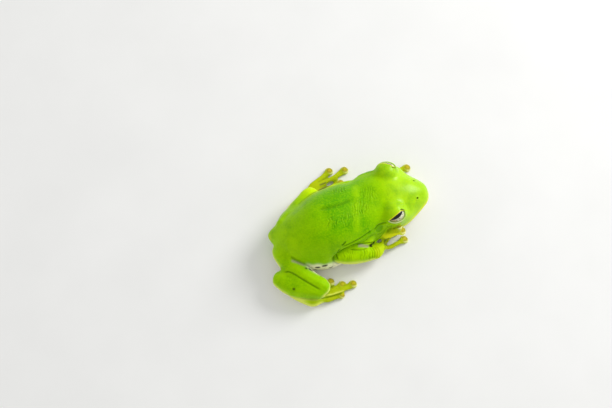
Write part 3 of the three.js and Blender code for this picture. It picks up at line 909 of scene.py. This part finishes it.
def mathOf(tree, operation, first, second=0.5, clamp=False):
    node = nodeOf(tree, "ShaderNodeMath", {0: first, 1: second}, operation=operation, use_clamp=clamp)
    return node.outputs["Value"]


def rangeOf(tree, value, low, high, toLow=0.0, toHigh=1.0):
    inputs = {"Value": value, "From Min": low, "From Max": high, "To Min": toLow, "To Max": toHigh}
    return nodeOf(tree, "ShaderNodeMapRange", inputs).outputs["Result"]


def mixOf(tree, share, first, second):
    node = nodeOf(tree, "ShaderNodeMix", {"Factor": share}, data_type="RGBA")
    places = [number for number, socket in enumerate(node.inputs) if socket.type == "RGBA"]
    feed(tree, node, dict(zip(places, (first, second))))
    return next(socket for socket in node.outputs if socket.type == "RGBA")


def bumpOf(tree, height, strength, distance, **more):
    inputs = {"Height": height, "Strength": strength, "Distance": distance, **more}
    return nodeOf(tree, "ShaderNodeBump", inputs).outputs["Normal"]


# sRGB values, 0 to 255, as a shader's linear colour
def colour(red, green, blue):
    def linear(value):
        value /= 255
        return value / 12.92 if value <= 0.04045 else ((value + 0.055) / 1.055) ** 2.4
    return (linear(red), linear(green), linear(blue), 1.0)


skinColours = {
    "bodyGreen": colour(86, 162, 0),
    "headGreen": colour(170, 218, 0),
    "deepGreen": colour(72, 146, 0),
    "limeFleck": colour(164, 216, 4),
    # painted shade of the folds, wrinkles, hollows and lid edges
    "creaseShade": colour(30, 84, 0),
    "mauve": colour(178, 166, 150),
    "ear": colour(82, 150, 0),
    # painted shade between the left foot's toes
    "webShade": colour(84, 84, 58),
    "pale": colour(246, 246, 212),
    "fringe": colour(232, 240, 110),
    # painted light of the left thigh, the hands, the feet and the tarsi
    "paintedLight": colour(212, 240, 0),
    "vent": colour(176, 208, 10),
    # black of the spots, and painted shade in the nostrils and the creases before the eyes
    "inkAndShade": colour(26, 22, 16),
    "lip": colour(232, 238, 30),
    # the upper lid's yellow rim and painted highlight
    "upperRimAndHighlight": colour(238, 228, 40),
    "lowerRim": colour(228, 230, 170),
    "digit": colour(180, 190, 20),
    "pad": colour(180, 164, 36),
    "padRing": colour(128, 102, 14),
    "padRim": colour(236, 238, 166),
}


def skinMaterial():
    material, tree, shader = newMaterial("frogSkin")
    tint = skinColours
    # The head's green is mixed in where the skin is yellower and where light is painted
    base = mixOf(tree, attributeOf(tree, "yellowAndPaintedLight"), tint["bodyGreen"], tint["headGreen"])
    patches = rangeOf(tree, noiseOf(tree, 230.0, 4.0, 0.6), 0.44, 0.66)
    base = mixOf(tree, mathOf(tree, "MULTIPLY", patches, 0.5), base, tint["deepGreen"])
    broad = rangeOf(tree, noiseOf(tree, 110.0, 1.0), 0.5, 0.68)
    base = mixOf(tree, mathOf(tree, "MULTIPLY", broad, 0.45), base, tint["headGreen"])
    flecks = rangeOf(tree, noiseOf(tree, 2100.0, 4.0, 0.7), 0.42, 0.7)
    base = mixOf(tree, mathOf(tree, "MULTIPLY", flecks, 0.5), base, tint["limeFleck"])
    blotch = rangeOf(tree, noiseOf(tree, 900.0), 0.3, 0.6, 0.5, 1.0)
    # Some of these layers paint light and shade: shade in creases, hollows, nostrils, eye corners and between
    # the left toes, light on the left thigh, hands, feet and tarsi, and a highlight along the upper lid rims
    for name, strength in (
        ("paintedLight", 0.9), ("mauve", 0.75), ("ear", 0.6), ("digit", 0.85), ("webShade", 0.75), ("vent", 0.8),
        ("pale", 1.0), ("fringe", 0.8), ("lip", 0.75), ("padRim", 0.85), ("pad", blotch), ("padRing", 0.8),
        ("upperRimAndHighlight", 0.9), ("lowerRim", 0.95), ("creaseShade", 0.85), ("inkAndShade", 1.0),
    ):
        share = mathOf(tree, "MULTIPLY", attributeOf(tree, name), strength)
        base = mixOf(tree, share, base, tint[name])
    coarse = mathOf(tree, "MULTIPLY", noiseOf(tree, 600.0, 2.0), 0.8)
    grain = mathOf(tree, "ADD", noiseOf(tree, 1700.0, 3.0, 0.6), coarse)
    normal = bumpOf(tree, grain, 0.5, 0.00007)
    feed(tree, shader, {
        "Base Color": base,
        "Normal": bumpOf(tree, cellsOf(tree, 1700.0), 0.45, 0.00008, Normal=normal),
        "Roughness": rangeOf(tree, noiseOf(tree, 700.0, 2.0), 0.3, 0.7, 0.36, 0.5),
        "Subsurface Weight": 0.12,
        "Subsurface Radius": (0.5, 1.0, 0.2),
        "Subsurface Scale": 0.0006,
        "IOR": 1.33,
        "Specular IOR Level": 0.3,
        "Specular Tint": (0.85, 1.0, 0.1, 1.0),
        "Coat Weight": mathOf(tree, "MULTIPLY", attributeOf(tree, "moist"), 0.3),
        "Coat Roughness": 0.26,
    })
    return material


skin = addObject("skin", skinMesh)
skinMesh.materials.append(skinMaterial())
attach(skin, "root")
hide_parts(*fleshNames)
print("skin:", sum(len(face.vertices) - 2 for face in skinMesh.polygons), "triangles")


# Granules of the belly, throat and thighs: small round warts spread over the pale skin

granulePlan = {
    "spacing": 0.56,  # mm between neighbours
    "radius": 0.32,  # mm
    "sunk": 0.5,  # share of its height that each lies under the skin
    "flatness": 0.26,
    "widths": (0.6, 1.2),  # share of the radius, from one granule to the next
    "densest": 3e6,  # to a square metre, more than the spacing lets through
    "seed": 7,
    "lowest": 0.5,  # mm above the floor
    "tones": (colour(236, 236, 194), colour(230, 230, 186)),
}


def paleFaces():
    shape = bmesh.new()
    shape.from_mesh(skinMesh)
    layer = shape.verts.layers.float["pale"]
    spots = shape.verts.layers.float["inkAndShade"]
    others = [
        face for face in shape.faces
        if min(vertex[layer] for vertex in face.verts) < 0.75
        or max(vertex[spots] for vertex in face.verts) > 0.1
        or face.calc_center_median().z < granulePlan["lowest"] * mm
    ]
    bmesh.ops.delete(shape, geom=others, context="FACES")
    return meshFrom(shape, "paleFaces")


def granuleTree(material):
    tree = bpy.data.node_groups.new("granules", "GeometryNodeTree")
    tree.interface.new_socket("Surface", in_out="INPUT", socket_type="NodeSocketGeometry")
    for name in ("Spacing", "Radius", "Sunk", "Flatness"):
        tree.interface.new_socket(name, in_out="INPUT", socket_type="NodeSocketFloat")
    tree.interface.new_socket("Seed", in_out="INPUT", socket_type="NodeSocketInt")
    tree.interface.new_socket("Granules", in_out="OUTPUT", socket_type="NodeSocketGeometry")
    given = nodeOf(tree, "NodeGroupInput").outputs
    spread = nodeOf(tree, "GeometryNodeDistributePointsOnFaces", distribute_method="POISSON")
    feed(tree, spread, {"Mesh": given["Surface"], "Distance Min": given["Spacing"]})
    feed(tree, spread, {"Density Max": granulePlan["densest"], "Seed": given["Seed"]})
    ball = nodeOf(tree, "GeometryNodeMeshIcoSphere", {"Subdivisions": 1, "Radius": given["Radius"]})
    depth = mathOf(tree, "MULTIPLY", given["Radius"], given["Sunk"])
    shift = nodeOf(tree, "ShaderNodeVectorMath", {0: (0, 0, -1), "Scale": depth}, operation="SCALE")
    sink = nodeOf(tree, "GeometryNodeTransform", {"Geometry": ball.outputs["Mesh"]})
    feed(tree, sink, {"Translation": shift.outputs["Vector"]})
    least, most = granulePlan["widths"]
    vary = nodeOf(tree, "FunctionNodeRandomValue", {2: least, 3: most}, data_type="FLOAT")
    feed(tree, vary, {"Seed": given["Seed"]})
    width = vary.outputs[1]
    size = nodeOf(tree, "ShaderNodeCombineXYZ", {"X": width, "Y": width, "Z": given["Flatness"]})
    place = nodeOf(tree, "GeometryNodeInstanceOnPoints", {
        "Points": spread.outputs["Points"],
        "Rotation": spread.outputs["Rotation"],
        "Instance": sink.outputs["Geometry"],
        "Scale": size.outputs["Vector"],
    })
    last = place.outputs["Instances"]
    for kind in ("RealizeInstances", "SetShadeSmooth", "SetMaterial"):
        step = nodeOf(tree, f"GeometryNode{kind}", {"Geometry": last})
        last = step.outputs["Geometry"]
    step.inputs["Material"].default_value = material
    nodeOf(tree, "NodeGroupOutput", {"Granules": last})
    return tree


def granuleMaterial():
    material, tree, shader = newMaterial("paleGranules")
    tone = rangeOf(tree, noiseOf(tree, 900.0), 0.35, 0.65)
    tone = mixOf(tree, tone, *granulePlan["tones"])
    feed(tree, shader, {"Base Color": tone, "Roughness": 0.45, "Specular IOR Level": 0.3})
    return material


def addGranules():
    granules = addObject("granules", paleFaces())
    modifier = granules.modifiers.new("granules", "NODES")
    modifier.node_group = granuleTree(granuleMaterial())
    values = {
        "Spacing": granulePlan["spacing"] * mm,
        "Radius": granulePlan["radius"] * mm,
        "Sunk": granulePlan["sunk"],
        "Flatness": granulePlan["flatness"],
        "Seed": granulePlan["seed"],
    }
    for socket in modifier.node_group.interface.items_tree:
        if socket.name in values:
            modifier[socket.identifier] = values[socket.name]
    grown = evaluatedMesh(granules)
    granules.modifiers.clear()
    granules.data = grown
    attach(granules, "root")
    print("granules:", len(grown.vertices) // 12)


addGranules()


# Eyeballs

irisPlan = {
    "pupil": (-22.0, 19.0),  # degrees from where the eye looks: forwards, up
    "pupilHalf": (50.0, 10.5),  # degrees, half its width and half its height
    "silver": colour(236, 238, 204),
    "mottle": colour(128, 136, 90),
    "vein": colour(66, 62, 44),
    "gold": colour(160, 128, 20),  # towards the rear and below
    "ring": colour(236, 240, 214),  # round the pupil
    "edge": colour(58, 52, 30),
    "black": colour(8, 7, 6),
    "segments": 96,
    "rings": 64,
}


def eyeballMesh(side):
    eye = eyeFrames[side]
    shape = bmesh.new()
    segments, rings = irisPlan["segments"], irisPlan["rings"]
    bmesh.ops.create_uvsphere(shape, u_segments=segments, v_segments=rings, radius=1.0)
    mesh = meshFrom(shape, f"eyeball_{side}")
    ball = coordinates(mesh)
    bulge = 1 + eyePlan["cornea"] * mm / eyeRadius * smoothStep(ball[:, 2], 0.45, 0.95) - 0.002
    axes = np.array([eye.front, eye.top, eye.aim])
    setCoordinates(mesh, eye.centre + (ball * bulge[:, None] * eyeRadius) @ axes)
    if np.linalg.det(axes) < 0:
        mesh.flip_normals()
    for name, values in (("lookFront", ball[:, 0]), ("lookUp", ball[:, 1])):
        addValues(mesh, name, np.degrees(np.arcsin(np.clip(values, -1, 1))))
    mesh.polygons.foreach_set("use_smooth", [True] * len(mesh.polygons))
    return mesh


def lengthOf(tree, across, up):
    squares = [mathOf(tree, "MULTIPLY", value, value) for value in (across, up)]
    return mathOf(tree, "SQRT", mathOf(tree, "ADD", *squares))


def eyeMaterial():
    material, tree, shader = newMaterial("frogEye")
    lookFront = attributeOf(tree, "lookFront")
    lookUp = attributeOf(tree, "lookUp")
    front = mathOf(tree, "SUBTRACT", lookFront, irisPlan["pupil"][0])
    up = mathOf(tree, "SUBTRACT", lookUp, irisPlan["pupil"][1])
    wide = mathOf(tree, "DIVIDE", front, irisPlan["pupilHalf"][0])
    high = mathOf(tree, "DIVIDE", up, irisPlan["pupilHalf"][1])
    reach = lengthOf(tree, wide, high)
    mottle = rangeOf(tree, noiseOf(tree, 2600.0, 3.0, 0.65), 0.4, 0.62)
    iris = mixOf(tree, mottle, irisPlan["silver"], irisPlan["mottle"])
    veins = rangeOf(tree, cellsOf(tree, 1500.0), 0.0, 0.12, 0.55, 0.0)
    iris = mixOf(tree, veins, iris, irisPlan["vein"])
    rear = rangeOf(tree, lookFront, -18.0, -42.0)
    low = mathOf(tree, "MULTIPLY", rangeOf(tree, lookUp, 4.0, -14.0), 0.5)
    gold = mathOf(tree, "MULTIPLY", mathOf(tree, "ADD", rear, low, clamp=True), 0.85)
    iris = mixOf(tree, gold, iris, irisPlan["gold"])
    ring = mathOf(tree, "MULTIPLY", rangeOf(tree, reach, 1.0, 1.22, 1.0, 0.0), 0.7)
    iris = mixOf(tree, ring, iris, irisPlan["ring"])
    outer = rangeOf(tree, lengthOf(tree, lookFront, lookUp), 52.0, 62.0)
    iris = mixOf(tree, outer, iris, irisPlan["edge"])
    iris = mixOf(tree, rangeOf(tree, reach, 0.94, 1.02, 1.0, 0.0), iris, irisPlan["black"])
    feed(tree, shader, {"Base Color": iris, "Roughness": 0.3, "Specular IOR Level": 0.15})
    feed(tree, shader, {"Coat Weight": 0.4, "Coat Roughness": 0.03})
    return material


eyeLook = eyeMaterial()
for side in sides:
    eyeball = addObject(f"eyeball_{side}", eyeballMesh(side))
    eyeball.data.materials.append(eyeLook)
    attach(eyeball, "root")
    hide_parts(f"eye_{side}")
print("eyes set")


# Floor and light

stagePlan = {
    "floor": (colour(238, 238, 236), colour(234, 234, 232)),
    "sky": 0.72,
    "keyPlace": (0.44, 0.14, 0.27), "keySize": 0.26, "keyPower": 2.0,
}


def addFloor():
    shape = bmesh.new()
    bmesh.ops.create_grid(shape, x_segments=1, y_segments=1, size=3.0)
    floor = addObject("floor", meshFrom(shape, "floor"))
    material, tree, shader = newMaterial("paleFloor")
    tone = rangeOf(tree, noiseOf(tree, 40.0), 0.3, 0.7)
    tone = mixOf(tree, tone, *stagePlan["floor"])
    feed(tree, shader, {"Base Color": tone, "Roughness": 0.9})
    floor.data.materials.append(material)


def addLight(name, place, size, power, aim=(0, 0, 0)):
    lamp = bpy.data.lights.new(name, "AREA")
    lamp.shape = "DISK"
    lamp.size = size
    lamp.energy = power
    holder = addObject(name, lamp)
    holder.location = place
    holder.rotation_euler = (Vector(aim) - Vector(place)).to_track_quat("-Z", "Y").to_euler()


def addSky():
    world = bpy.data.worlds.new("studio")
    world.use_nodes = True
    bpy.context.scene.world = world
    tree = world.node_tree
    sky = tree.nodes["Background"]
    feed(tree, sky, {"Color": (1, 1, 1, 1), "Strength": stagePlan["sky"]})
    white = nodeOf(tree, "ShaderNodeBackground", {"Strength": 1.0})
    path = nodeOf(tree, "ShaderNodeLightPath")
    seen = path.outputs["Is Camera Ray"]
    for kind in ("Is Glossy Ray", "Is Transmission Ray"):
        seen = mathOf(tree, "MAXIMUM", seen, path.outputs[kind])
    shades = {"Fac": seen, 1: sky.outputs["Background"], 2: white.outputs["Background"]}
    mix = nodeOf(tree, "ShaderNodeMixShader", shades)
    tree.links.new(mix.outputs["Shader"], tree.nodes["World Output"].inputs["Surface"])


addFloor()
addLight("key", stagePlan["keyPlace"], stagePlan["keySize"], stagePlan["keyPower"])
addSky()
bpy.context.scene.view_settings.view_transform = "Standard"
print("stage lit")
